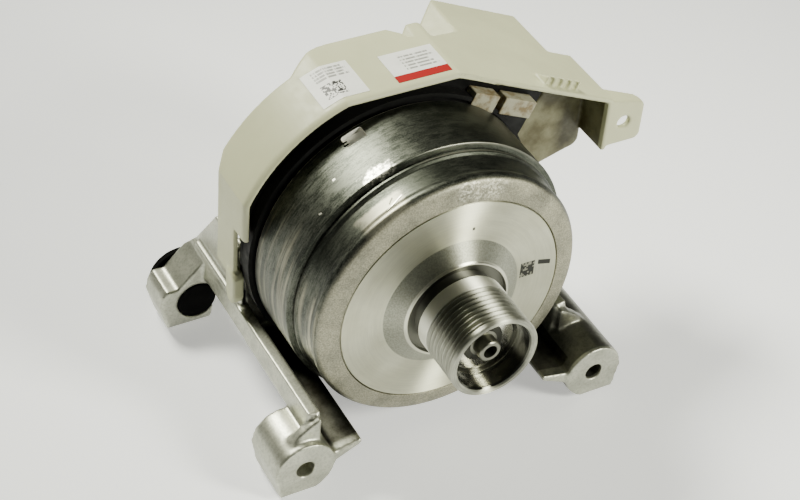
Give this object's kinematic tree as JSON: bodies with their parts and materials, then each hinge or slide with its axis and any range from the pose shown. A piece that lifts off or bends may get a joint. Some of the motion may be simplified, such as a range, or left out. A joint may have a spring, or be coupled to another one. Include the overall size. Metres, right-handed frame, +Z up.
{
  "type": "washing machine motor",
  "caption": "External-rotor washing machine drive motor with a ribbed belt pulley on a fixed axle, in a cast mounting cradle with rubber bushes, under a plastic terminal hood.",
  "frame": {"origin": "midway between the two front mounting holes, on their front faces", "axes": "+X to the hood's ear, +Y from the pulley to the rear lugs along the motor axis, +Z up"},
  "size_m": [0.2075, 0.1522, 0.1407],
  "materials": {
    "cast_aluminium": "die cast, light grey, faintly grained",
    "axle_steel": "ground steel",
    "bearing_steel": "polished steel",
    "cage_steel": "pressed steel",
    "shield_steel": "bright pressed shield",
    "spring_steel": "dark spring steel",
    "pulley_steel": "turned bright, fine tool marks",
    "disc_aluminium": "satin turned face",
    "shell_aluminium": "cast and turned, tarnished",
    "rotor_iron": "plain iron",
    "magnet_ferrite": "matt ferrite",
    "lamination_steel": "stacked laminations",
    "insulator_plastic": "moulded",
    "winding_wire": "enamelled copper wire",
    "screw_steel": "zinc plated",
    "carrier_plastic": "black moulding",
    "board_laminate": "green circuit board",
    "connector_plastic": "white moulding",
    "hood_plastic": "off-white moulding, fine spark texture",
    "label_paper": "plain sticker",
    "bush_rubber": "black rubber"
  },
  "bodies": {
    "cradle": {"bracket": "cast_aluminium", "axle": "axle_steel", "front_inner_race": "bearing_steel", "rear_inner_race": "bearing_steel", "stator_core": "lamination_steel", "front_insulator": "insulator_plastic", "rear_insulator": "insulator_plastic", "windings": "winding_wire", "stator_screws": "screw_steel", "terminal_carrier": "carrier_plastic", "sensor_board": "board_laminate", "power_connector": "connector_plastic", "sensor_connector": "connector_plastic", "hood": "hood_plastic", "rating_label": "label_paper", "code_label": "label_paper", "bush_left": "bush_rubber", "bush_right": "bush_rubber"},
    "rotor": {"drive_pulley": "pulley_steel", "rotor_disc": "disc_aluminium", "rotor_shell": "shell_aluminium", "back_iron": "rotor_iron", "magnets": "magnet_ferrite", "front_outer_race": "bearing_steel", "front_seals": "shield_steel", "bearing_circlip": "spring_steel", "rear_outer_race": "bearing_steel", "rear_seals": "shield_steel"},
    "front_ball_set": {"front_balls": "bearing_steel", "front_cage": "cage_steel"},
    "rear_ball_set": {"rear_balls": "bearing_steel", "rear_cage": "cage_steel"}
  },
  "joints": [
    {"name": "rotor_spin", "type": "hinge", "parent": "cradle", "child": "rotor", "pos_m": [0, 0.0135, 0.0552], "axis": [0, 1, 0], "continuous": true},
    {"name": "front_balls_roll", "type": "hinge", "parent": "cradle", "child": "front_ball_set", "pos_m": [0, -0.0075, 0.0552], "axis": [0, 1, 0], "continuous": true},
    {"name": "rear_balls_roll", "type": "hinge", "parent": "cradle", "child": "rear_ball_set", "pos_m": [0, 0.0195, 0.0552], "axis": [0, 1, 0], "continuous": true}
  ],
  "couplings": [
    {"joint": "front_balls_roll", "follows": "rotor_spin", "ratio": 0.6227},
    {"joint": "rear_balls_roll", "follows": "rotor_spin", "ratio": 0.608}
  ]
}
